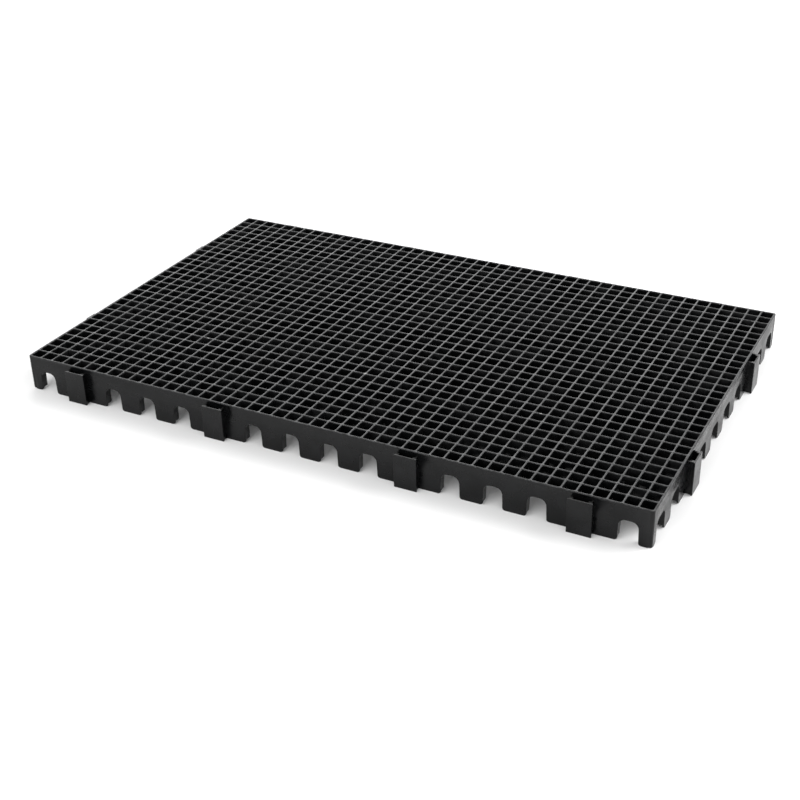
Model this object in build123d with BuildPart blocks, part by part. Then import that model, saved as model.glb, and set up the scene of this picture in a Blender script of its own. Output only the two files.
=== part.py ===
from build123d import *
import os

# Interlocking plastic deck panel: an open square grating on a skirt that is cut into feet.
# Millimetres, +Z up. The origin lies on the floor under the middle of the grating, +X runs along
# the long side, and the pockets face -Y and +X.

os.makedirs("parts", exist_ok=True)

# Overall
pitch = 20.0  # from one rib of the grating to the next, both ways
bay_cells = 3  # cells from one foot to the next
bays_long = 16  # bays along X
bays_wide = 10  # bays along Y
height = 55.0  # floor to the top of the grating

# Grating and the deeper beams under it
rib_width = 2.7
rib_depth = 16.0
beam_width = 3.0
beam_depth = 7.0  # below the ribs

# Skirt
wall_thickness = 3.2  # centred on the outermost rib lines
corner_radius = 3.0  # upright outer corners
foot_width_long = 33.0  # length of skirt between two arches on the long sides
foot_width_wide = 27.0  # the same on the short sides
crown_radius = 9.5  # upper corners of an arch
toe_radius = 2.5  # lower corners of a foot
crown_rise = 5.0  # how far the arches reach up into the closed rail above the feet
lining_thickness = 2.4  # flange round each arch
lining_depth = 8.0  # in from the skirt

# Cross-shaped feet under the beams
inner_foot_width = 32.0  # from tip to tip, where the foot meets the beams
inner_foot_tread = 28.0  # the same on the floor
inner_foot_wall = 3.0
first_foot_lines = (2, 1)  # first foot line that has them, counted along X and along Y
foot_line_step = 2  # foot lines from one to the next

# Bays that have a pocket or a hook in place of an arch, counted in from each end of a side
fitting_bays_long = (1, 5)
fitting_bays_wide = (2,)

# Pockets on the front and right
socket_width = 33.0  # face plate
socket_depth = 10.0  # from the skirt to the outside of the plate
socket_drop = 5.4  # from the top of the grating
plate_thickness = 2.4  # face plate and cheeks
cheek_inset = 1.6  # from the ends of the plate
plate_edge_radius = 0.6
slot_width = 20.0  # between the guide ribs behind the face plate
guide_depth = 3.6  # guide ribs, in from the face plate

# Hooks on the back and left, which drop into the pockets of the next panel
hook_side_clearance = 1.0  # tongue to guide rib
hook_play = 0.6  # face plate to the skirt behind it and to the tongue in front of it
hook_seat = 0.4  # arm above the top of the pocket
hook_arm = 3.0
tongue_thickness = 2.6
tongue_length = 19.0  # below the arm
hook_round = 2.4  # shoulder between arm and tongue
hook_lead_in = 1.2  # bevel on the tip of the tongue

# Windows in the skirt behind the hooks
window_width = 24.0
window_drop = 7.0  # from the top of the grating
window_radius = 1.5

# Sizes that follow
bay = bay_cells * pitch
cells_long = bays_long * bay_cells
cells_wide = bays_wide * bay_cells
deck_length = cells_long * pitch + wall_thickness
deck_width = cells_wide * pitch + wall_thickness
inner_length = deck_length - 2 * wall_thickness
inner_width = deck_width - 2 * wall_thickness
rib_bottom = height - rib_depth
arch_height = rib_bottom - beam_depth
rail_bottom = arch_height - crown_rise
socket_top = height - socket_drop
pocket_width = socket_width - 2 * (cheek_inset + plate_thickness)
guide_width = (pocket_width - slot_width) / 2
hook_width = slot_width - 2 * hook_side_clearance
hook_gap = plate_thickness + 2 * hook_play
hook_reach = hook_gap + tongue_thickness
arm_bottom = socket_top + hook_seat
arm_top = arm_bottom + hook_arm
tongue_bottom = arm_bottom - tongue_length
window_top = height - window_drop
window_height = window_top - arch_height
corner_fillet = min(corner_radius, 0.95 * wall_thickness)  # stays inside its wall


def bay_centre(number, bays):
    return (number + 0.5 - bays / 2) * bay


def foot_line(number, bays):
    return (number - bays / 2) * bay


def from_both_ends(numbers, bays):
    return sorted(set(numbers) | {bays - 1 - number for number in numbers})


# Each side: name, middle of its outer face, direction along it, outward direction, length of its
# wall, width of its feet, number of bays, bays with a fitting, and the fitting. The long walls make
# the corners.
sides = (
    ("front", Vector(0, -deck_width / 2, 0), Vector(1, 0, 0), Vector(0, -1, 0), deck_length,
     foot_width_long, bays_long, from_both_ends(fitting_bays_long, bays_long), "socket"),
    ("right", Vector(deck_length / 2, 0, 0), Vector(0, 1, 0), Vector(1, 0, 0), inner_width,
     foot_width_wide, bays_wide, from_both_ends(fitting_bays_wide, bays_wide), "socket"),
    ("back", Vector(0, deck_width / 2, 0), Vector(-1, 0, 0), Vector(0, 1, 0), deck_length,
     foot_width_long, bays_long, from_both_ends(fitting_bays_long, bays_long), "hook"),
    ("left", Vector(-deck_length / 2, 0, 0), Vector(0, -1, 0), Vector(-1, 0, 0), inner_width,
     foot_width_wide, bays_wide, from_both_ends(fitting_bays_wide, bays_wide), "hook"),
)


# Grating: two sets of crossing ribs in one piece, which end at the skirt
with BuildPart() as deck_grid:
    with BuildSketch(Plane.XY.offset(rib_bottom)):
        with GridLocations(pitch, 1, cells_long - 1, 1):
            Rectangle(rib_width, inner_width)
        with GridLocations(1, pitch, 1, cells_wide - 1):
            Rectangle(inner_length, rib_width)
    extrude(amount=rib_depth)
deck_grid.part.label = "deck_grid"
export_step(deck_grid.part, "parts/deck_grid.step")


# Beams: one on each foot line, under the ribs
with BuildPart() as under_beams:
    with BuildSketch(Plane.XY.offset(arch_height)):
        with GridLocations(bay, 1, bays_long - 1, 1):
            Rectangle(beam_width, inner_width)
        with GridLocations(1, bay, 1, bays_wide - 1):
            Rectangle(inner_length, beam_width)
    extrude(amount=beam_depth)
under_beams.part.label = "under_beams"
export_step(under_beams.part, "parts/under_beams.step")


# Inner feet: two tapering plates that cross under a crossing of the beams
foot_places = [
    Vector(foot_line(along_x, bays_long), foot_line(along_y, bays_wide), 0)
    for along_x in range(first_foot_lines[0], bays_long, foot_line_step)
    for along_y in range(first_foot_lines[1], bays_wide, foot_line_step)
]
plate_planes = [Plane(place, x_dir=(1, 0, 0), z_dir=(0, -1, 0)) for place in foot_places]
plate_planes += [Plane(place, x_dir=(0, 1, 0), z_dir=(1, 0, 0)) for place in foot_places]
with BuildPart() as inner_feet:
    with BuildSketch(*plate_planes):
        with BuildLine():
            Polyline(
                (-inner_foot_tread / 2, 0),
                (inner_foot_tread / 2, 0),
                (inner_foot_width / 2, arch_height),
                (-inner_foot_width / 2, arch_height),
                close=True,
            )
        make_face()
    extrude(amount=inner_foot_wall / 2, both=True)
inner_feet.part.label = "inner_feet"
export_step(inner_feet.part, "parts/inner_feet.step")


# Skirt: each wall is a closed rail with a row of feet below it, and a flange lines each arch
for name, middle, along, outward, length, foot_width, bays, fitting_bays, fitting in sides:
    arches = [(bay_centre(number, bays), 0) for number in range(bays) if number not in fitting_bays]
    windows = [(bay_centre(number, bays), arch_height + window_height / 2) for number in fitting_bays]
    arch_width = bay - foot_width
    crown_fillet = min(crown_radius, 0.45 * arch_width)  # leaves a flat crown
    face = Plane(middle, x_dir=along, z_dir=outward)

    with BuildSketch() as arch:
        Rectangle(arch_width, 2 * arch_height)
        fillet(arch.vertices().group_by(Axis.Y)[-1], crown_fillet)

    with BuildSketch() as lining:
        with Locations((0, toe_radius)):
            Rectangle(
                arch_width + 2 * lining_thickness,
                arch_height + lining_thickness - toe_radius,
                align=(Align.CENTER, Align.MIN),
            )
        fillet(lining.vertices().group_by(Axis.Y)[-1], crown_fillet + lining_thickness)
        add(arch.sketch, mode=Mode.SUBTRACT)

    with BuildPart() as wall:
        with BuildSketch(face) as outline:
            with Locations((0, height / 2)):
                Rectangle(length, height)
            with Locations(*arches):
                add(arch.sketch, mode=Mode.SUBTRACT)
            fillet(outline.vertices().group_by(Axis.Y)[0].sort_by(Axis.X)[1:-1], toe_radius)
            if fitting == "hook":
                with Locations(*windows):
                    RectangleRounded(window_width, window_height, window_radius, mode=Mode.SUBTRACT)
        extrude(amount=-wall_thickness)
        if length == deck_length:
            ends = wall.edges().filter_by(Axis.Z).group_by(Axis(middle, along))
            outer_edges = [ends[end].sort_by(Axis(middle, outward))[-1] for end in (0, -1)]
            fillet(outer_edges, corner_fillet)
        with BuildSketch(face.offset(-wall_thickness)):
            with Locations(*arches):
                add(lining.sketch)
        extrude(amount=-lining_depth)

    with BuildPart() as rail:
        add(wall.part)
        split(bisect_by=Plane.XY.offset(rail_bottom), keep=Keep.TOP)
    rail.part.label = f"{name}_rail"
    export_step(rail.part, f"parts/{name}_rail.step")

    with BuildPart() as feet:
        add(wall.part)
        split(bisect_by=Plane.XY.offset(rail_bottom), keep=Keep.BOTTOM)
    feet.part.label = f"{name}_feet"
    export_step(feet.part, f"parts/{name}_feet.step")


# Pockets: a face plate on two cheeks with guide ribs inside, open at the top and the bottom
def make_socket(place, along, outward):
    with BuildPart() as socket:
        with BuildSketch(Plane(place, x_dir=along, z_dir=(0, 0, 1))):
            with Locations((0, plate_thickness / 2 - socket_depth)):
                Rectangle(socket_width, plate_thickness)
            with GridLocations(pocket_width + plate_thickness, 1, 2, 1):
                Rectangle(plate_thickness, socket_depth - plate_thickness, align=(Align.CENTER, Align.MAX))
            with Locations((0, plate_thickness - socket_depth)):
                with GridLocations(slot_width + guide_width, 1, 2, 1):
                    Rectangle(guide_width, guide_depth, align=(Align.CENTER, Align.MIN))
        extrude(amount=socket_top)
        plate_edges = socket.edges().filter_by(Axis.Z).group_by(Axis(place, outward))[-1]
        fillet(plate_edges, plate_edge_radius)
    return socket.part


# Hooks: an arm from the top of the rail, with a tongue that hangs down clear of the skirt
def make_hook(place, along, outward):
    with BuildPart() as hook:
        with BuildSketch(Plane(place, x_dir=outward, z_dir=outward.cross(Vector(0, 0, 1)))) as section:
            with BuildLine():
                Polyline(
                    (0, arm_bottom),
                    (0, arm_top),
                    (hook_reach, arm_top),
                    (hook_reach, tongue_bottom + hook_lead_in),
                    (hook_reach - hook_lead_in, tongue_bottom),
                    (hook_gap, tongue_bottom),
                    (hook_gap, arm_bottom),
                    close=True,
                )
            make_face()
            shoulder = section.vertices().group_by(Axis.Y)[-1].sort_by(Axis.X)[-1]
            fillet(shoulder, hook_round)
        extrude(amount=hook_width / 2, both=True)
    return hook.part


make_fitting = {"socket": make_socket, "hook": make_hook}
for name, middle, along, outward, length, foot_width, bays, fitting_bays, fitting in sides:
    for number, bay_number in enumerate(fitting_bays, start=1):
        place = middle + along * bay_centre(bay_number, bays)
        piece = make_fitting[fitting](place, along, outward)
        piece.label = f"{name}_{fitting}_{number}"
        export_step(piece, f"parts/{piece.label}.step")
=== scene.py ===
import math
import bmesh
import bpy
from mathutils import Matrix, Vector


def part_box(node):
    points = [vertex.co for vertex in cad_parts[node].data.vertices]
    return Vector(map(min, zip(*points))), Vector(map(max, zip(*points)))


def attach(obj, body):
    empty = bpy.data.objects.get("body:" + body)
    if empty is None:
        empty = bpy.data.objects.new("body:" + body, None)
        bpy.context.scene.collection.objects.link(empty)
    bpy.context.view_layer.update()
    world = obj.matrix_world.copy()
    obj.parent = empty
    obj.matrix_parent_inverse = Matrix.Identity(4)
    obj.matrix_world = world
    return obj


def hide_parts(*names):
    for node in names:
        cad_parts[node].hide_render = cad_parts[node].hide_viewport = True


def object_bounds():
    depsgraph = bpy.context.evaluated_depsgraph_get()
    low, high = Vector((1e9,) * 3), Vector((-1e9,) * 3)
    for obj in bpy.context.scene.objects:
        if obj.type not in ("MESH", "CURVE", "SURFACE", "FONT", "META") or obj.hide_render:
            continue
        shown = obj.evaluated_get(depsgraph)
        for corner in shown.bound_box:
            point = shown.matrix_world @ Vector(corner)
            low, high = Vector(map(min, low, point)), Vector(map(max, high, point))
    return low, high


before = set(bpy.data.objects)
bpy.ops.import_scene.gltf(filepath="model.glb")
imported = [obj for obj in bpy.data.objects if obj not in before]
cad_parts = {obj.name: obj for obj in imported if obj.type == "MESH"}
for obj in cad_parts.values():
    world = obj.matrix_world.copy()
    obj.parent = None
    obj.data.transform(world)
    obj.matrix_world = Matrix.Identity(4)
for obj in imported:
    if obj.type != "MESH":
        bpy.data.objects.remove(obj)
cadLow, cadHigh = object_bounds()
print("frame loaded:", len(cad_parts), "nodes")

# Places and sizes read from the frame
gridLow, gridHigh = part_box("deck_grid")
railLow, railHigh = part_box("front_rail")
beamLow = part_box("under_beams")[0]

panel = {
    "cellsLong": 48,
    "cellsWide": 30,
    "cellsPerBay": 3,
    "baysLong": 16,
    "baysWide": 10,
}
deckTop = gridHigh.z
wallThickness = gridLow.y - railLow.y
halfLength = railHigh.x
halfWidth = -railLow.y
ribLineLong = halfLength - wallThickness / 2  # outermost rib lines, in the middle of the skirt
ribLineWide = halfWidth - wallThickness / 2
pitch = 2 * ribLineLong / panel["cellsLong"]
bay = pitch * panel["cellsPerBay"]


# Helpers that every piece uses

def newObject(name, mesh):
    piece = bpy.data.objects.new(name, mesh)
    bpy.context.scene.collection.objects.link(piece)
    return piece


def meshFrom(build, name):
    # build is a function that fills an empty bmesh
    work = bmesh.new()
    build(work)
    mesh = bpy.data.meshes.new(name)
    work.to_mesh(mesh)
    work.free()
    return mesh


def bakeModifiers(piece):
    bpy.context.view_layer.update()
    graph = bpy.context.evaluated_depsgraph_get()
    mesh = bpy.data.meshes.new_from_object(piece.evaluated_get(graph))
    mesh.name = piece.name
    piece.modifiers.clear()
    piece.data = mesh


def smoothBy(mesh, degrees):
    mesh.shade_smooth()
    mesh.set_sharp_from_angle(angle=math.radians(degrees))


def settle(piece, material, *nodes):
    piece.data.materials.clear()
    piece.data.materials.append(material)
    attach(piece, "root")
    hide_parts(*nodes)
    print("made", piece.name, len(piece.data.polygons), "faces")


def arc(centre, radius, start, end, steps):
    # points on an arc, angles in degrees
    points = []
    for step in range(steps + 1):
        angle = math.radians(start + (end - start) * step / steps)
        points.append((centre[0] + radius * math.cos(angle), centre[1] + radius * math.sin(angle)))
    return points


# Black plastic, built from effects that all its finishes share

effects = {
    "grainBroad": 60.0,  # noise scale of the broad part of the grain, and its share beside the fine part
    "grainBroadShare": 1.5,
    "cloudRange": (0.35, 0.65),  # part of the noise that makes clouds and streaks
    "glossRange": (0.2, 1.4),  # clouds and streaks together, from the glossiest to the dullest
    "bandNoiseScale": 130.0,
    "bandNoiseRange": (0.42, 0.66),  # part of the noise that breaks up the worn edges and the painted highlight on the tops
    "dustSlope": (0.6, 1.0),  # how far a face has to look up to hold dust
    "patchScale": 9.0,
    "patchRange": (0.3, 0.7, 0.3, 1.0),  # part of the noise, and the share of dust that it leaves
    "speckScale": 420.0,
    "speckRange": (0.4, 0.7, 0.4, 1.0),
}


def shaderGroup(name, inputs, outputs):
    tree = bpy.data.node_groups.new(name, "ShaderNodeTree")
    for label, kind, value in inputs:
        socket = tree.interface.new_socket(name=label, in_out="INPUT", socket_type=kind)
        if value is not None:
            socket.default_value = value
    for label, kind in outputs:
        tree.interface.new_socket(name=label, in_out="OUTPUT", socket_type=kind)
    return tree, tree.nodes.new("NodeGroupInput"), tree.nodes.new("NodeGroupOutput")


def mathNode(tree, operation, first, second=None, third=None, clamp=False):
    node = tree.nodes.new("ShaderNodeMath")
    node.operation = operation
    node.use_clamp = clamp
    for index, value in enumerate((first, second, third)):
        if value is None:
            continue
        if isinstance(value, (int, float)):
            node.inputs[index].default_value = value
        else:
            tree.links.new(value, node.inputs[index])
    return node.outputs[0]


def noiseNode(tree, vector, scale, detail=3.0, roughness=0.5):
    node = tree.nodes.new("ShaderNodeTexNoise")
    node.inputs["Detail"].default_value = detail
    node.inputs["Roughness"].default_value = roughness
    if isinstance(scale, (int, float)):
        node.inputs["Scale"].default_value = scale
    else:
        tree.links.new(scale, node.inputs["Scale"])
    tree.links.new(vector, node.inputs["Vector"])
    return node.outputs[0]


def rangeNode(tree, value, *limits):
    # limits are the range it comes from and the range it goes to
    node = tree.nodes.new("ShaderNodeMapRange")
    for label, number in zip(("From Min", "From Max", "To Min", "To Max"), limits):
        node.inputs[label].default_value = number
    tree.links.new(value, node.inputs["Value"])
    return node.outputs[0]


def makeGrainGroup():
    # fine grain of the mould face, as a height in metres
    tree, source, sink = shaderGroup(
        "mouldGrain",
        [
            ("Vector", "NodeSocketVector", None),
            ("Grain Scale", "NodeSocketFloat", 900.0),
            ("Depth", "NodeSocketFloat", 0.00003),
        ],
        [("Height", "NodeSocketFloat")],
    )
    fine = noiseNode(tree, source.outputs["Vector"], source.outputs["Grain Scale"], 2.0, 0.6)
    broad = noiseNode(tree, source.outputs["Vector"], effects["grainBroad"], 2.0, 0.5)
    both = mathNode(tree, "MULTIPLY_ADD", broad, effects["grainBroadShare"], fine)
    height = mathNode(tree, "MULTIPLY", both, source.outputs["Depth"])
    tree.links.new(height, sink.inputs["Height"])
    return tree


def makeFlowGroup():
    # cloudy flow marks left by the melt, stretched along one direction, from 0 to 1
    tree, source, sink = shaderGroup(
        "flowMarks",
        [
            ("Vector", "NodeSocketVector", None),
            ("Stretch", "NodeSocketVector", (1.0, 1.0, 1.0)),
            ("Cloud Scale", "NodeSocketFloat", 30.0),
        ],
        [("Clouds", "NodeSocketFloat"), ("Streaks", "NodeSocketFloat")],
    )
    scaled = tree.nodes.new("ShaderNodeVectorMath")
    scaled.operation = "MULTIPLY"
    tree.links.new(source.outputs["Vector"], scaled.inputs[0])
    tree.links.new(source.outputs["Stretch"], scaled.inputs[1])
    clouds = noiseNode(tree, source.outputs["Vector"], source.outputs["Cloud Scale"], 4.0, 0.6)
    streaks = noiseNode(tree, scaled.outputs[0], source.outputs["Cloud Scale"], 3.0, 0.55)
    for noise, label in ((clouds, "Clouds"), (streaks, "Streaks")):
        spread = rangeNode(tree, noise, *effects["cloudRange"], 0.0, 1.0)
        tree.links.new(spread, sink.inputs[label])
    return tree


def makeWearAndHighlightGroup():
    # scuffs along the toes, and a band along the rim at the top that lightens every top face, partly
    # scuffs and partly a painted highlight, from 0 to 1
    tree, source, sink = shaderGroup(
        "edgeWear",
        [
            ("Vector", "NodeSocketVector", None),
            ("Rim Level", "NodeSocketFloat", 0.055),
            ("Band", "NodeSocketFloat", 0.0012),
            ("Amount", "NodeSocketFloat", 0.5),
        ],
        [("Wear", "NodeSocketFloat")],
    )
    split = tree.nodes.new("ShaderNodeSeparateXYZ")
    tree.links.new(source.outputs["Vector"], split.inputs[0])
    belowRim = mathNode(tree, "SUBTRACT", source.outputs["Rim Level"], split.outputs["Z"])
    nearest = mathNode(tree, "MINIMUM", belowRim, split.outputs["Z"])
    band = mathNode(tree, "DIVIDE", nearest, source.outputs["Band"])
    edge = mathNode(tree, "SUBTRACT", 1.0, band, clamp=True)
    scratches = noiseNode(tree, source.outputs["Vector"], effects["bandNoiseScale"], 4.0, 0.65)
    broken = rangeNode(tree, scratches, *effects["bandNoiseRange"], 0.0, 1.0)
    worn = mathNode(tree, "MULTIPLY", edge, broken, clamp=True)
    amount = mathNode(tree, "MULTIPLY", worn, source.outputs["Amount"], clamp=True)
    tree.links.new(amount, sink.inputs["Wear"])
    return tree


def makeDustGroup():
    # pale dust on faces that look up, thicker in patches, from 0 to 1
    tree, source, sink = shaderGroup(
        "settledDust",
        [("Vector", "NodeSocketVector", None), ("Dust Amount", "NodeSocketFloat", 0.5)],
        [("Dust", "NodeSocketFloat")],
    )
    geometry = tree.nodes.new("ShaderNodeNewGeometry")
    split = tree.nodes.new("ShaderNodeSeparateXYZ")
    tree.links.new(geometry.outputs["Normal"], split.inputs[0])
    upward = rangeNode(tree, split.outputs["Z"], *effects["dustSlope"], 0.0, 1.0)
    broad = noiseNode(tree, source.outputs["Vector"], effects["patchScale"], 4.0, 0.6)
    fine = noiseNode(tree, source.outputs["Vector"], effects["speckScale"], 2.0, 0.5)
    patches = rangeNode(tree, broad, *effects["patchRange"])
    specks = rangeNode(tree, fine, *effects["speckRange"])
    laid = mathNode(tree, "MULTIPLY", mathNode(tree, "MULTIPLY", upward, patches), specks)
    amount = mathNode(tree, "MULTIPLY", laid, source.outputs["Dust Amount"], clamp=True)
    tree.links.new(amount, sink.inputs["Dust"])
    return tree


grainGroup = makeGrainGroup()
flowGroup = makeFlowGroup()
wearAndHighlightGroup = makeWearAndHighlightGroup()
dustGroup = makeDustGroup()


def placeGroup(tree, group, vector, **values):
    node = tree.nodes.new("ShaderNodeGroup")
    node.node_tree = group
    tree.links.new(vector, node.inputs["Vector"])
    for label, value in values.items():
        node.inputs[label.replace("_", " ")].default_value = value
    return node


def mixColour(tree, factor, first, second):
    node = tree.nodes.new("ShaderNodeMix")
    node.data_type = "RGBA"
    tree.links.new(factor, node.inputs["Factor"])
    for socket, value in ((node.inputs["A"], first), (node.inputs["B"], second)):
        if isinstance(value, tuple):
            socket.default_value = value
        else:
            tree.links.new(value, socket)
    return node.outputs["Result"]


def positionOf(tree):
    return tree.nodes.new("ShaderNodeTexCoord").outputs["Object"]


def gateMask(tree, vector, gates):
    # six small gate marks in two rows: one pair in the middle and one pair towards each end
    split = tree.nodes.new("ShaderNodeSeparateXYZ")
    tree.links.new(vector, split.inputs[0])
    nearest = mathNode(tree, "ROUND", mathNode(tree, "DIVIDE", split.outputs["X"], gates["spacing"]))
    middle = mathNode(tree, "MULTIPLY", nearest, gates["spacing"])
    alongX = mathNode(tree, "SUBTRACT", split.outputs["X"], middle)
    alongY = mathNode(tree, "SUBTRACT", mathNode(tree, "ABSOLUTE", split.outputs["Y"]), gates["offset"])
    squares = [mathNode(tree, "POWER", distance, 2.0) for distance in (alongX, alongY)]
    away = mathNode(tree, "SQRT", mathNode(tree, "ADD", *squares))
    near = rangeNode(tree, away, gates["outerRadius"], gates["innerRadius"], 0.0, 1.0)
    onTop = rangeNode(tree, split.outputs["Z"], deckTop - gates["skin"], deckTop, 0.0, 1.0)
    return mathNode(tree, "MULTIPLY", near, onTop)


def makePlastic(name, finish):
    material = bpy.data.materials.new(name)
    material.use_nodes = True
    tree = material.node_tree
    shader = tree.nodes["Principled BSDF"]
    shader.inputs["Specular IOR Level"].default_value = finish["specular"]
    vector = positionOf(tree)
    flow = placeGroup(tree, flowGroup, vector, Stretch=finish["stretch"], Cloud_Scale=finish["cloudScale"])
    wearAndHighlight = placeGroup(tree, wearAndHighlightGroup, vector, Rim_Level=deckTop, Amount=finish["wearAndHighlight"])
    dust = placeGroup(tree, dustGroup, vector, Dust_Amount=finish["dust"])
    grain = placeGroup(tree, grainGroup, vector, Depth=finish["grainDepth"])
    clouds, streaks = flow.outputs["Clouds"], flow.outputs["Streaks"]
    tinted = mixColour(tree, clouds, finish["dark"], finish["light"])
    # lighter grey in the band: scuffs, and on the top faces a painted highlight
    scuffedAndHighlit = mixColour(tree, wearAndHighlight.outputs["Wear"], tinted, finish["scuffedAndHighlit"])
    colour = mixColour(tree, dust.outputs["Dust"], scuffedAndHighlit, finish["dustColour"])
    both = mathNode(tree, "MULTIPLY_ADD", streaks, finish["streaks"], clouds)
    roughness = rangeNode(tree, both, *effects["glossRange"], finish["smoothest"], finish["roughest"])
    roughness = mathNode(tree, "MULTIPLY_ADD", wearAndHighlight.outputs["Wear"], finish["wornRougher"], roughness)
    height = grain.outputs["Height"]
    if "gates" in finish:
        mask = gateMask(tree, vector, finish["gates"])
        colour = mixColour(tree, mask, colour, finish["gates"]["colour"])
        roughness = mathNode(tree, "MULTIPLY_ADD", mask, finish["gates"]["rougher"], roughness)
        height = mathNode(tree, "MULTIPLY_ADD", mask, finish["gates"]["height"], height)
    rougher = (dust.outputs["Dust"], finish["dustRougher"], roughness)
    roughness = mathNode(tree, "MULTIPLY_ADD", *rougher, clamp=True)
    tree.links.new(colour, shader.inputs["Base Color"])
    tree.links.new(roughness, shader.inputs["Roughness"])
    bump = tree.nodes.new("ShaderNodeBump")
    bump.inputs["Strength"].default_value = finish["bump"]
    bump.inputs["Distance"].default_value = 1.0
    tree.links.new(height, bump.inputs["Height"])
    tree.links.new(bump.outputs["Normal"], shader.inputs["Normal"])
    return material


plastic = {
    "dark": (0.0010, 0.0011, 0.0012, 1.0),
    "light": (0.0032, 0.0034, 0.0037, 1.0),
    # grey of the scuffs, which also paints a highlight on every top face
    "scuffedAndHighlit": (0.085, 0.088, 0.092, 1.0),
    "dustColour": (0.090, 0.089, 0.086, 1.0),
    "specular": 0.21,
    "smoothest": 0.16,
    "roughest": 0.36,
    "stretch": (1.0, 1.0, 4.0),
    "cloudScale": 26.0,
    "streaks": 0.6,  # share of the streaks beside the clouds in the gloss
    # strength of the band: scuffs, and a painted highlight on the tops
    "wearAndHighlight": 0.5,
    "wornRougher": 0.15,
    "dust": 0.25,
    "dustRougher": 0.3,
    "grainDepth": 0.000012,
    "bump": 0.6,
}
gates = {
    "spacing": 13.5 * pitch,  # from the middle pair to the next ones along the length
    "offset": 7 * pitch,  # to each side of the middle line
    "outerRadius": 0.002185,  # where a mark has faded out, and where it is full
    "innerRadius": 0.001425,
    "skin": 0.0003,  # they only show on the tops of the ribs
    "colour": (0.30, 0.30, 0.29, 1.0),
    "rougher": 0.2,
    "height": 0.0002,
}
gratingFinish = {**plastic, "gates": gates, "stretch": (1.0, 1.0, 1.0), "dust": 0.35}
gratingPlastic = makePlastic("gratingPlastic", gratingFinish)
skirtPlastic = makePlastic("skirtPlastic", {**plastic, "stretch": (0.3, 0.3, 2.2)})
pocketPlastic = makePlastic("pocketPlastic", {**plastic, "stretch": (2.0, 2.0, 0.4), "cloudScale": 34.0})
hookPlastic = makePlastic("hookPlastic", {**plastic, "stretch": (2.0, 2.0, 0.4), "wearAndHighlight": 0.7})
beamPlastic = makePlastic("beamPlastic", {**plastic, "wearAndHighlight": 0.15, "dust": 0.1})
footPlastic = makePlastic("footPlastic", {**plastic, "wearAndHighlight": 0.6, "dust": 0.0})
print("materials made")


# Node trees that repeat a unit

def geometryTree(name, inputs):
    tree = bpy.data.node_groups.new(name, "GeometryNodeTree")
    tree.interface.new_socket(name="Geometry", in_out="INPUT", socket_type="NodeSocketGeometry")
    for label, kind in inputs:
        tree.interface.new_socket(name=label, in_out="INPUT", socket_type=kind)
    tree.interface.new_socket(name="Geometry", in_out="OUTPUT", socket_type="NodeSocketGeometry")
    return tree, tree.nodes.new("NodeGroupInput"), tree.nodes.new("NodeGroupOutput")


def finishTree(tree, source, sink, points, rotation=None):
    # a unit on every point, made real, welded and given its material
    unit = tree.nodes.new("GeometryNodeObjectInfo")
    place = tree.nodes.new("GeometryNodeInstanceOnPoints")
    real = tree.nodes.new("GeometryNodeRealizeInstances")
    weld = tree.nodes.new("GeometryNodeMergeByDistance")
    finish = tree.nodes.new("GeometryNodeSetMaterial")
    link = tree.links.new
    link(source.outputs["Unit"], unit.inputs["Object"])
    link(points, place.inputs["Points"])
    link(unit.outputs["Geometry"], place.inputs["Instance"])
    if rotation is not None:
        link(rotation, place.inputs["Rotation"])
    link(place.outputs["Instances"], real.inputs["Geometry"])
    link(real.outputs["Geometry"], weld.inputs["Geometry"])
    link(source.outputs["Weld"], weld.inputs["Distance"])
    link(weld.outputs["Geometry"], finish.inputs["Geometry"])
    link(source.outputs["Material"], finish.inputs["Material"])
    link(finish.outputs["Geometry"], sink.inputs["Geometry"])


def makeGridTree():
    # units on a rectangular grid centred on the origin
    tree, source, sink = geometryTree(
        "unitsOnGrid",
        [
            ("Unit", "NodeSocketObject"),
            ("Columns", "NodeSocketInt"),
            ("Rows", "NodeSocketInt"),
            ("Spacing X", "NodeSocketFloat"),
            ("Spacing Y", "NodeSocketFloat"),
            ("Weld", "NodeSocketFloat"),
            ("Material", "NodeSocketMaterial"),
        ],
    )
    grid = tree.nodes.new("GeometryNodeMeshGrid")
    for count, spacing, size, vertices in (
        ("Columns", "Spacing X", "Size X", "Vertices X"),
        ("Rows", "Spacing Y", "Size Y", "Vertices Y"),
    ):
        gaps = mathNode(tree, "SUBTRACT", source.outputs[count], 1.0)
        length = mathNode(tree, "MULTIPLY", gaps, source.outputs[spacing])
        tree.links.new(length, grid.inputs[size])
        tree.links.new(source.outputs[count], grid.inputs[vertices])
    finishTree(tree, source, sink, grid.outputs["Mesh"])
    return tree


def makeMarkerTree():
    # units on the points of a mesh, each turned about Z by the point's own "turn"
    tree, source, sink = geometryTree(
        "unitsOnMarkers",
        [("Unit", "NodeSocketObject"), ("Weld", "NodeSocketFloat"), ("Material", "NodeSocketMaterial")],
    )
    turn = tree.nodes.new("GeometryNodeInputNamedAttribute")
    turn.data_type = "FLOAT"
    turn.inputs["Name"].default_value = "turn"
    angles = tree.nodes.new("ShaderNodeCombineXYZ")
    tree.links.new(turn.outputs["Attribute"], angles.inputs["Z"])
    finishTree(tree, source, sink, source.outputs["Geometry"], angles.outputs[0])
    return tree


gridTree = makeGridTree()
markerTree = makeMarkerTree()


def repeated(name, start, tree, unit, **values):
    # runs the tree on the start mesh and returns the plain mesh that it makes
    carrier = newObject(name, start)
    modifier = carrier.modifiers.new("repeat", "NODES")
    modifier.node_group = tree
    values["Unit"] = unit
    for item in tree.interface.items_tree:
        if item.in_out == "INPUT" and item.name in values:
            modifier[item.identifier] = values[item.name]
    bakeModifiers(carrier)
    mesh = carrier.data
    bpy.data.objects.remove(carrier)
    bpy.data.objects.remove(unit)
    return mesh


weldDistance = 0.00001


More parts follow.
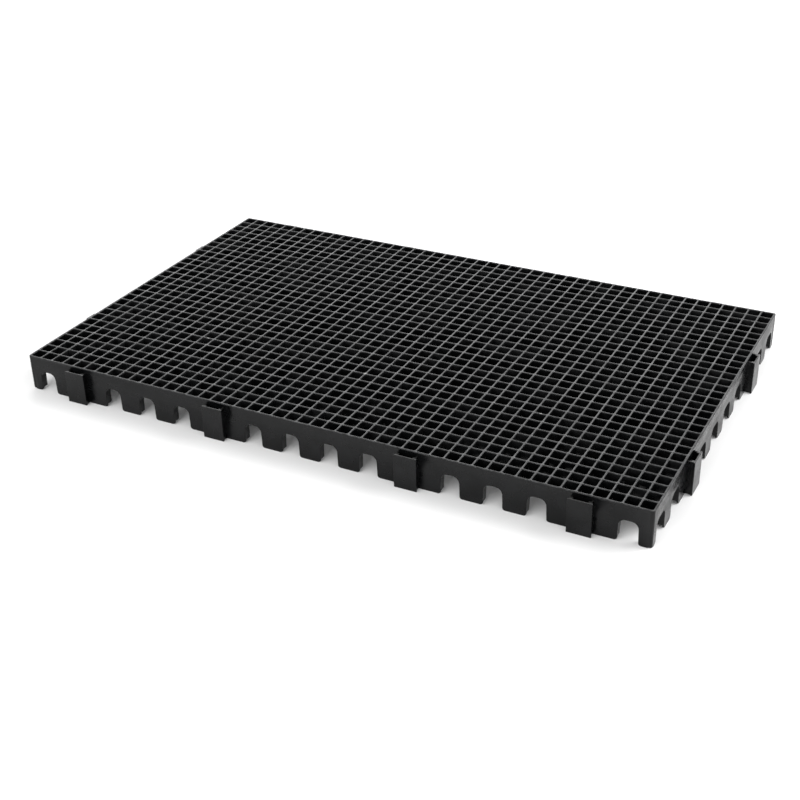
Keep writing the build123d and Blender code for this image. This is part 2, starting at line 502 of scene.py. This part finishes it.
def onGrid(name, unit, columns, rows, spacing, material):
    values = {"Columns": columns, "Rows": rows, "Spacing X": spacing, "Spacing Y": spacing}
    start = bpy.data.meshes.new(name)
    return repeated(name, start, gridTree, unit, Weld=weldDistance, Material=material, **values)


def onMarkers(name, unit, markers, material):
    start = bpy.data.meshes.new(name)
    start.from_pydata([place for place, turn in markers], [], [])
    attribute = start.attributes.new("turn", "FLOAT", "POINT")
    attribute.data.foreach_set("value", [turn for place, turn in markers])
    return repeated(name, start, markerTree, unit, Weld=weldDistance, Material=material)


# Grating: one open cell, repeated

grating = {
    "ribTop": 0.0026,
    "ribBottom": 0.0023,  # the ribs taper towards the floor
    "cornerRadius": 0.0019,  # upright corners of a cell
    "topRadius": 0.0008,
    "cornerSteps": 2,
    "tolerance": 0.0001,  # for finding the top and the bottom of the border
    "smoothBelow": 50,  # degrees
}


def cellLoop(half, radius):
    # rounded square hole, anticlockwise from the corner at +X +Y
    loop = []
    for quarter in range(4):
        angle = math.radians(90 * quarter + 45)
        centre = Vector((math.cos(angle), math.sin(angle))) * (half - radius) * math.sqrt(2)
        loop += arc(centre, radius, 90 * quarter, 90 * quarter + 90, grating["cornerSteps"])
    return loop


def cellUnit(work):
    steps = grating["cornerSteps"]
    top = (pitch - grating["ribTop"]) / 2
    bottom = (pitch - grating["ribBottom"]) / 2
    edge = grating["topRadius"]
    halfway = edge * (1 - math.cos(math.radians(45)))
    levels = [
        (top + edge, deckTop),
        (top + halfway, deckTop - halfway),
        (top, deckTop - edge),
        (bottom, gridLow.z),
    ]
    square = [Vector((x, y)) * pitch / 2 for x, y in ((1, 1), (-1, 1), (-1, -1), (1, -1))]
    loops = []
    for half, height in levels:
        radius = grating["cornerRadius"] + half - top
        loops.append([work.verts.new((x, y, height)) for x, y in cellLoop(half, radius)])
    for upper, lower in zip(loops, loops[1:]):
        for index in range(len(upper)):
            after = (index + 1) % len(upper)
            work.faces.new((upper[index], upper[after], lower[after], lower[index]))
    for height, loop, flip in ((deckTop, loops[0], False), (gridLow.z, loops[-1], True)):
        corners = [work.verts.new((x, y, height)) for x, y in square]
        count = steps + 1
        for quarter in range(4):
            first = quarter * count
            corner = corners[quarter]
            faces = [(corner, loop[first + step + 1], loop[first + step]) for step in range(steps)]
            after = (first + count) % len(loop)
            faces.append((corner, corners[(quarter + 1) % 4], loop[after], loop[first + steps]))
            for face in faces:
                work.faces.new(tuple(reversed(face)) if flip else face)


def closeBorder(work):
    # upright faces round the outside, inside the skirt
    def spot(vertex):
        return round(vertex.co.x, 4), round(vertex.co.y, 4)

    edges = [edge for edge in work.edges if edge.is_boundary]
    highest = deckTop - grating["tolerance"]
    top = [edge for edge in edges if min(vertex.co.z for vertex in edge.verts) > highest]
    lowest = {}
    for edge in edges:
        for vertex in edge.verts:
            if vertex.co.z < gridLow.z + grating["tolerance"]:
                lowest[spot(vertex)] = vertex
    for edge in top:
        first, second = edge.verts
        work.faces.new((first, second, lowest[spot(second)], lowest[spot(first)]))
    bmesh.ops.recalc_face_normals(work, faces=work.faces)


unit = newObject("cellUnit", meshFrom(cellUnit, "cellUnit"))
gratingMesh = onGrid("grating", unit, panel["cellsLong"], panel["cellsWide"], pitch, gratingPlastic)
work = bmesh.new()
work.from_mesh(gratingMesh)
closeBorder(work)
work.to_mesh(gratingMesh)
work.free()
smoothBy(gratingMesh, grating["smoothBelow"])
gratingPiece = newObject("grating", gratingMesh)
settle(gratingPiece, gratingPlastic, "deck_grid")


# Skirt: one ring, with lining blocks joined on and arches and windows cut through

skirt = {
    "outerRadius": 0.003,
    "innerRadius": 0.0012,
    "cornerSteps": 8,
    "rimHeight": 0.0024,  # lip along the top
    "rimSlope": 0.0005,  # height of the slope from the lip to the wall
    "recess": 0.00035,  # the wall stands back from the lip and the corners by this
    "recessRun": 0.0006,  # length of the slope from the corners to the wall
    "post": 0.0052,  # from the end of the side to the recess
    "rimRadius": 0.0007,
    "seat": 0.0005,  # the grating laps over the inner half of the wall by this
    "edgeRadius": 0.00045,
    "cornerToe": 0.00252,  # rounding under the corner posts
    "plainToe": 0.0001,  # the same elsewhere, before the edges are softened
}
arch = {
    # widths near the floor and near the crown
    "long": {"below": 0.0272, "above": 0.0260, "toe": 0.0034},
    "wide": {"below": 0.0336, "above": 0.0324, "toe": 0.0040},
    "height": beamLow.z,
    "crownRadius": 0.0095,
    "lining": 0.0024,  # flange round the arch
    "liningDepth": railHigh.y - gridLow.y,
    "liningBottom": 0.0042,
    "overshoot": 0.001,  # how far the cut reaches below the floor
}
window = {
    "width": 0.024,
    "radius": 0.0015,
    "bottom": beamLow.z,
    "top": deckTop - 0.007,
}
fittingBays = {"long": (1, 5, 10, 14), "wide": (2, 7)}
wallOf = {
    # kind, number of bays, distance from the middle, turn
    "front": ("long", panel["baysLong"], ribLineWide, 0.0),
    "right": ("wide", panel["baysWide"], ribLineLong, math.pi / 2),
    "back": ("long", panel["baysLong"], ribLineWide, math.pi),
    "left": ("wide", panel["baysWide"], ribLineLong, -math.pi / 2),
}


def skirtStations():
    # outer point, inner point, outward direction and recess, all the way round
    stations = []
    corners = [(1, -1, 270), (1, 1, 0), (-1, 1, 90), (-1, -1, 180)]
    for signX, signY, start in corners:
        rows = []
        for step in range(skirt["cornerSteps"] + 1):
            angle = math.radians(start + 90 * step / skirt["cornerSteps"])
            outward = Vector((math.cos(angle), math.sin(angle)))
            points = []
            for inset, radius in ((0.0, skirt["outerRadius"]), (wallThickness, skirt["innerRadius"])):
                away = inset + radius
                centre = Vector((signX * (halfLength - away), signY * (halfWidth - away)))
                points.append(centre + outward * radius)
            rows.append((points[0], points[1], outward, 0.0))
        for end in (0, -1):
            outer, inner, outward = rows[end][:3]
            away = Vector((-outward.y, outward.x)) * (-1 if end == 0 else 1)
            reach = skirt["post"] - skirt["outerRadius"]
            extra = []
            for distance, recess in ((reach, 0.0), (reach + skirt["recessRun"], skirt["recess"])):
                extra.append((outer + away * distance, inner + away * distance, outward, recess))
            if end == 0:
                rows = extra[::-1] + rows
            else:
                rows = rows + extra
        stations += rows
    return stations


def skirtRing(work):
    rim = skirt["rimRadius"]
    loops = []
    for outer, inner, outward, recess in skirtStations():
        middle = (outer + inner) / 2
        seat = deckTop - skirt["seat"]
        section = [(inner, 0.0), (inner, seat), (middle, seat), (middle, deckTop)]
        rounded = arc((0, 0), rim, 90, 0, 3)
        section += [(outer - outward * (rim - x), deckTop - rim + z) for x, z in rounded]
        section += [
            (outer, deckTop - skirt["rimHeight"]),
            (outer - outward * recess, deckTop - skirt["rimHeight"] - skirt["rimSlope"]),
        ]
        toe = skirt["plainToe"] if recess > 0 else skirt["cornerToe"]
        rounded = arc((0, 0), toe, 0, -90, 4)
        section += [(outer - outward * (recess + toe - x), toe + z) for x, z in rounded]
        loops.append([work.verts.new((point.x, point.y, height)) for point, height in section])
    for index, loop in enumerate(loops):
        following = loops[(index + 1) % len(loops)]
        for step in range(len(loop)):
            after = (step + 1) % len(loop)
            work.faces.new((loop[step], loop[after], following[after], following[step]))
    bmesh.ops.recalc_face_normals(work, faces=work.faces)


def prism(work, outline, depth):
    # outline in X and Z, pushed through in Y by half the depth each way
    sides = [[work.verts.new((x, y, z)) for x, z in outline] for y in (-depth / 2, depth / 2)]
    work.faces.new(sides[0])
    work.faces.new(list(reversed(sides[1])))
    for index in range(len(outline)):
        after = (index + 1) % len(outline)
        work.faces.new((sides[0][after], sides[0][index], sides[1][index], sides[1][after]))
    bmesh.ops.recalc_face_normals(work, faces=work.faces)


def archSide(kind, widen, bottom):
    # right half of an arch outline, widened all round, from the floor or a level above it to the crown
    size = arch[kind]
    below, above = size["below"] / 2, size["above"] / 2
    crown = arch["crownRadius"]
    if bottom > 0:
        side = [(below + widen, bottom)]
    else:
        toe = size["toe"]
        side = [(below + toe, -arch["overshoot"])] + arc((below + toe, toe), toe, 270, 180, 4)
    return side + arc((above - crown, arch["height"] - crown), crown + widen, 0, 90, 8)


def mirrored(side):
    return side + [(-x, z) for x, z in reversed(side)]


def archUnit(kind):
    depth = 2 * (wallThickness + arch["liningDepth"])
    return lambda work: prism(work, mirrored(archSide(kind, 0.0, 0.0)), depth)


def liningUnit(kind):
    # solid block from the middle of the wall inwards, which the arch is cut through later
    depth = wallThickness / 2 + arch["liningDepth"]

    def build(work):
        prism(work, mirrored(archSide(kind, arch["lining"], arch["liningBottom"])), depth)
        bmesh.ops.translate(work, verts=work.verts, vec=(0, depth / 2, 0))

    return build


def windowUnit(work):
    half, radius = window["width"] / 2, window["radius"]
    outline = []
    for x, z, start in (
        (half - radius, window["top"] - radius, 0),
        (radius - half, window["top"] - radius, 90),
        (radius - half, window["bottom"] + radius, 180),
        (half - radius, window["bottom"] + radius, 270),
    ):
        outline += arc((x, z), radius, start, start + 90, 3)
    prism(work, outline, wallThickness * 3)


def bayMarkers(sides, fitted):
    # markers on the middle line of the named walls, in the bays with a fitting or in the others,
    # turned so that +Y points into the panel
    markers = []
    for side in sides:
        kind, count, reach, turn = wallOf[side]
        for number in range(count):
            if (number in fittingBays[kind]) == fitted:
                along = (number + 0.5 - count / 2) * bay
                place = Matrix.Rotation(turn, 3, "Z") @ Vector((along, -reach, 0.0))
                markers.append((tuple(place), turn))
    return markers


def combine(piece, mesh, operation):
    # joins or cuts the piece with a mesh that is thrown away afterwards
    tool = newObject("tool", mesh)
    modifier = piece.modifiers.new("combine", "BOOLEAN")
    modifier.operation = operation
    modifier.solver = "EXACT"
    modifier.object = tool
    bakeModifiers(piece)
    bpy.data.objects.remove(tool)


def softenEdges(piece, width, segments=2, degrees=45):
    bevel = piece.modifiers.new("bevel", "BEVEL")
    bevel.width = width
    bevel.segments = segments
    bevel.limit_method = "ANGLE"
    bevel.angle_limit = math.radians(degrees)
    bevel.use_clamp_overlap = False
    bevel.miter_outer = "MITER_ARC"
    piece.data.shade_smooth()
    bevel.harden_normals = True
    bakeModifiers(piece)


skirtPiece = newObject("skirt", meshFrom(skirtRing, "skirt"))
sidesOf = {"long": ("front", "back"), "wide": ("right", "left")}
for kind, sides in sidesOf.items():
    unit = newObject("liningUnit", meshFrom(liningUnit(kind), "liningUnit"))
    combine(skirtPiece, onMarkers("linings", unit, bayMarkers(sides, False), skirtPlastic), "UNION")
for kind, sides in sidesOf.items():
    unit = newObject("archUnit", meshFrom(archUnit(kind), "archUnit"))
    combine(skirtPiece, onMarkers("arches", unit, bayMarkers(sides, False), skirtPlastic), "DIFFERENCE")
unit = newObject("windowUnit", meshFrom(windowUnit, "windowUnit"))
windows = onMarkers("windows", unit, bayMarkers(("back", "left"), True), skirtPlastic)
combine(skirtPiece, windows, "DIFFERENCE")
softenEdges(skirtPiece, skirt["edgeRadius"])
for vertex in skirtPiece.data.vertices:
    vertex.co.z = max(vertex.co.z, cadLow.z)  # the bevel dips a hair below the floor
skirtNodes = [f"{side}_{part}" for side in wallOf for part in ("rail", "feet")]
settle(skirtPiece, skirtPlastic, *skirtNodes)


# Pockets on the front and right

pocket = {
    "plate": 0.0024,
    "cheek": 0.0024,
    "cheekInset": 0.0016,
    "slot": 0.020,  # between the guide ribs
    "guide": 0.0036,  # guide ribs, in from the plate
    "edgeRadius": 0.0005,
    "root": 0.0012,  # how far the cheeks run into the wall
}
outwardOf = {
    "front": Vector((0, -1, 0)),
    "right": Vector((1, 0, 0)),
    "back": Vector((0, 1, 0)),
    "left": Vector((-1, 0, 0)),
}


def wallPlace(node, side):
    # matrix with X along the wall, Y into it and Z up, on the wall's outer face at the node's middle,
    # and the node's width, depth, lowest and highest
    outward = outwardOf[side]
    along = Vector((0, 0, 1)).cross(outward)
    low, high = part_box(node)
    middle = (low + high) / 2
    reach = halfLength if abs(outward.x) > 0.5 else halfWidth
    origin = along * middle.dot(along) + outward * reach
    matrix = Matrix((along, -outward, Vector((0, 0, 1)))).transposed().to_4x4()
    matrix.translation = origin
    size = high - low
    return matrix, abs(size.dot(along)), abs(size.dot(outward)), low.z, high.z


def upright(work, outline, bottom, top):
    # outline in X and Y, anticlockwise, from bottom to top
    rings = [[work.verts.new((x, y, z)) for x, y in outline] for z in (bottom, top)]
    work.faces.new(list(reversed(rings[0])))
    work.faces.new(rings[1])
    for index in range(len(outline)):
        after = (index + 1) % len(outline)
        work.faces.new((rings[0][index], rings[0][after], rings[1][after], rings[1][index]))


def makePocket(node, side):
    matrix, width, depth, bottom, top = wallPlace(node, side)
    plateBack = pocket["plate"] - depth
    outerCheek = width / 2 - pocket["cheekInset"]
    innerCheek = outerCheek - pocket["cheek"]
    right = [
        (width / 2, -depth),
        (width / 2, plateBack),
        (outerCheek, plateBack),
        (outerCheek, pocket["root"]),
        (innerCheek, pocket["root"]),
        (innerCheek, plateBack + pocket["guide"]),
        (pocket["slot"] / 2, plateBack + pocket["guide"]),
        (pocket["slot"] / 2, plateBack),
    ]
    outline = right + [(-x, y) for x, y in reversed(right)]

    def build(work):
        upright(work, outline, bottom, top)

    piece = newObject(node.replace("socket", "pocket"), meshFrom(build, node))
    softenEdges(piece, pocket["edgeRadius"], 3)
    piece.data.transform(matrix)
    settle(piece, pocketPlastic, node)


# Latches on the back and left, which hook into the pockets of the next panel

hook = {
    "arm": 0.003,
    "tongue": 0.0026,
    "shoulder": 0.0024,
    "fillet": 0.001,
    "leadIn": 0.0012,
    "edgeRadius": 0.0004,
    "root": 0.0012,
}


def makeHook(node, side):
    matrix, width, reach, bottom, top = wallPlace(node, side)
    armBottom = top - hook["arm"]
    inner = reach - hook["tongue"]
    shoulder, fillet, leadIn = hook["shoulder"], hook["fillet"], hook["leadIn"]
    outline = [(hook["root"], top)]
    outline += [(-y, z) for y, z in arc((reach - shoulder, top - shoulder), shoulder, 90, 0, 6)]
    outline += [(-reach, bottom + leadIn), (leadIn - reach, bottom), (-inner, bottom)]
    outline += [(-y, z) for y, z in arc((inner - fillet, armBottom - fillet), fillet, 0, 90, 3)]
    outline += [(hook["root"], armBottom)]

    def build(work):
        ends = [[work.verts.new((x, y, z)) for y, z in outline] for x in (-width / 2, width / 2)]
        work.faces.new(ends[0])
        work.faces.new(list(reversed(ends[1])))
        for index in range(len(outline)):
            after = (index + 1) % len(outline)
            work.faces.new((ends[0][after], ends[0][index], ends[1][index], ends[1][after]))
        bmesh.ops.recalc_face_normals(work, faces=work.faces)

    piece = newObject(node.replace("_hook", "_latch"), meshFrom(build, node))
    softenEdges(piece, hook["edgeRadius"])
    piece.data.transform(matrix)
    settle(piece, hookPlastic, node)


for side, count in (("front", 4), ("right", 2)):
    for number in range(1, count + 1):
        makePocket(f"{side}_socket_{number}", side)
for side, count in (("back", 4), ("left", 2)):
    for number in range(1, count + 1):
        makeHook(f"{side}_hook_{number}", side)


# Beams under the grating, one on each line of feet

beam = {
    "width": 0.003,
    "widthBelow": 0.0025,
    "edgeRadius": 0.0006,
    "lap": 0.0003,  # into the ribs, and between the two directions
    "root": 0.0005,  # into the skirt
    "smoothBelow": 40,  # degrees
}


def beamOutline(bottom):
    half, low, radius = beam["width"] / 2, beam["widthBelow"] / 2, beam["edgeRadius"]
    right = arc((low - radius, bottom + radius), radius, 270, 360, 3)
    right += [(half, gridLow.z + beam["lap"])]
    return [(-x, z) for x, z in reversed(right)] + right


def crossBeamUnit(work):
    length = 2 * (halfWidth - wallThickness + beam["root"])
    prism(work, beamOutline(beamLow.z), length)


def longBeamUnit(work):
    length = 2 * (halfLength - wallThickness + beam["root"])
    prism(work, beamOutline(beamLow.z + beam["lap"]), length)
    bmesh.ops.rotate(work, verts=work.verts, matrix=Matrix.Rotation(math.pi / 2, 3, "Z"))


crossUnit = newObject("crossBeamUnit", meshFrom(crossBeamUnit, "crossBeamUnit"))
crossBeams = onGrid("crossBeams", crossUnit, panel["baysLong"] - 1, 1, bay, beamPlastic)
longUnit = newObject("longBeamUnit", meshFrom(longBeamUnit, "longBeamUnit"))
longBeams = onGrid("longBeams", longUnit, 1, panel["baysWide"] - 1, bay, beamPlastic)
work = bmesh.new()
work.from_mesh(crossBeams)
work.from_mesh(longBeams)
beamMesh = bpy.data.meshes.new("beams")
work.to_mesh(beamMesh)
work.free()
smoothBy(beamMesh, beam["smoothBelow"])
beamPiece = newObject("beams", beamMesh)
settle(beamPiece, beamPlastic, "under_beams")


# Cross-shaped feet under the beams

foot = {
    "width": 0.032,
    "tread": 0.028,
    "wall": 0.0029,
    "wallBelow": 0.0024,
    "toe": 0.001,
    "fillet": 0.0025,
    "columns": 7,
    "rows": 5,
    "lineStep": 2,  # on every second line of feet
    "smoothBelow": 40,  # degrees
}


def footUnit(work):
    height = beamLow.z
    toe, fillet = foot["toe"], foot["fillet"]
    levels = [(toe - x, toe - z, 0.5) for x, z in arc((0, 0), toe, 90, 0, 4)]
    levels += [(x - fillet, height - fillet + z, 0.0) for x, z in arc((0, 0), fillet, 0, 70, 4)]
    levels.append((-fillet, height + beam["lap"], 0.0))
    rings = []
    for inset, z, share in levels:
        part = min(z / height, 1.0)
        width = foot["tread"] + (foot["width"] - foot["tread"]) * part
        wall = foot["wallBelow"] + (foot["wall"] - foot["wallBelow"]) * part
        reach = width / 2 - inset
        half = wall / 2 - inset * share
        quarter = [(reach, -half), (reach, half), (half, half)]
        outline = []
        for turn in range(4):
            cosine = round(math.cos(turn * math.pi / 2))
            sine = round(math.sin(turn * math.pi / 2))
            outline += [(x * cosine - y * sine, x * sine + y * cosine) for x, y in quarter]
        rings.append([work.verts.new((x, y, z)) for x, y in outline])
    work.faces.new(list(reversed(rings[0])))
    work.faces.new(rings[-1])
    for lower, upper in zip(rings, rings[1:]):
        for index in range(len(lower)):
            after = (index + 1) % len(lower)
            work.faces.new((lower[index], lower[after], upper[after], upper[index]))
    bmesh.ops.recalc_face_normals(work, faces=work.faces)


unit = newObject("footUnit", meshFrom(footUnit, "footUnit"))
footSpacing = foot["lineStep"] * bay
footMesh = onGrid("innerFeet", unit, foot["columns"], foot["rows"], footSpacing, footPlastic)
smoothBy(footMesh, foot["smoothBelow"])
footPiece = newObject("innerFeet", footMesh)
settle(footPiece, footPlastic, "inner_feet")


# Floor, light and camera

studio = {
    "floorSize": 14.0,
    "floorDrop": 0.00005,  # below the feet
    "floorColour": (0.86, 0.86, 0.86, 1.0),
    "floorRoughness": 0.9,
    "worldColour": (1.0, 1.0, 1.0, 1.0),
    "worldStrength": 1.9,
    "worldZenith": 0.10,  # share of the light that is left overhead
    "fallStart": 0.58,  # sine of the height at which the light starts to fall, and where it ends
    "fallEnd": 0.86,
}
softboxes = {
    # place, target, width, height and radiance
    "rightSoftbox": ((2.6, 1.2, 2.0), (0.5, 0.1, 0.0), 2.0, 1.6, 8.5),
    "backSoftbox": ((-1.6, 3.2, 1.9), (0.0, 0.0, 0.0), 3.6, 1.6, 2.0),
    "frontSoftbox": ((-0.8, -3.4, 1.9), (0.0, -0.3, 0.0), 3.4, 1.4, 4.5),
}
view = {
    "place": Vector((0.8359, -1.6250, 0.9659)),
    "target": Vector((0.0805, -0.1878, 0.055)),
    "roll": -1.275,  # degrees
    "lens": 60.63,
    "sensor": 36.0,
}


def makeFloor():
    def build(work):
        half = studio["floorSize"] / 2
        bmesh.ops.create_grid(work, x_segments=8, y_segments=8, size=half)

    floor = newObject("studioFloor", meshFrom(build, "studioFloor"))
    floor.data.transform(Matrix.Translation((0, 0, cadLow.z - studio["floorDrop"])))
    material = bpy.data.materials.new("studioWhite")
    material.use_nodes = True
    shader = material.node_tree.nodes["Principled BSDF"]
    shader.inputs["Base Color"].default_value = studio["floorColour"]
    shader.inputs["Roughness"].default_value = studio["floorRoughness"]
    shader.inputs["Specular IOR Level"].default_value = 0.0
    floor.data.materials.append(material)


def makeWorld():
    # soft white all round and dark overhead, so that the cells stay dark between bright ribs
    world = bpy.data.worlds.new("softWhite")
    bpy.context.scene.world = world
    world.use_nodes = True
    tree = world.node_tree
    background = tree.nodes["Background"]
    background.inputs["Color"].default_value = studio["worldColour"]
    split = tree.nodes.new("ShaderNodeSeparateXYZ")
    tree.links.new(tree.nodes.new("ShaderNodeTexCoord").outputs["Generated"], split.inputs[0])
    fall = (studio["fallStart"], studio["fallEnd"], 1.0, studio["worldZenith"])
    overhead = rangeNode(tree, split.outputs["Z"], *fall)
    strength = mathNode(tree, "MULTIPLY", studio["worldStrength"], overhead)
    tree.links.new(strength, background.inputs["Strength"])


def makeSoftbox(name, place, target, width, height, radiance):
    light = bpy.data.lights.new(name, "AREA")
    light.shape = "RECTANGLE"
    light.size = width
    light.size_y = height
    light.energy = radiance * math.pi * width * height
    softbox = newObject(name, light)
    softbox.location = place
    softbox.rotation_euler = (Vector(target) - Vector(place)).to_track_quat("-Z", "Y").to_euler()


def makeCamera():
    data = bpy.data.cameras.new("camera")
    data.lens = view["lens"]
    data.sensor_width = view["sensor"]
    camera = newObject("camera", data)
    camera.location = view["place"]
    aim = (view["target"] - view["place"]).to_track_quat("-Z", "Y")
    roll = Matrix.Rotation(math.radians(view["roll"]), 3, "Z")
    camera.rotation_euler = (aim.to_matrix() @ roll).to_euler()
    bpy.context.scene.camera = camera


makeFloor()
makeWorld()
for name, values in softboxes.items():
    makeSoftbox(name, *values)
makeCamera()
bpy.context.scene.view_settings.view_transform = "Standard"
print("studio made")
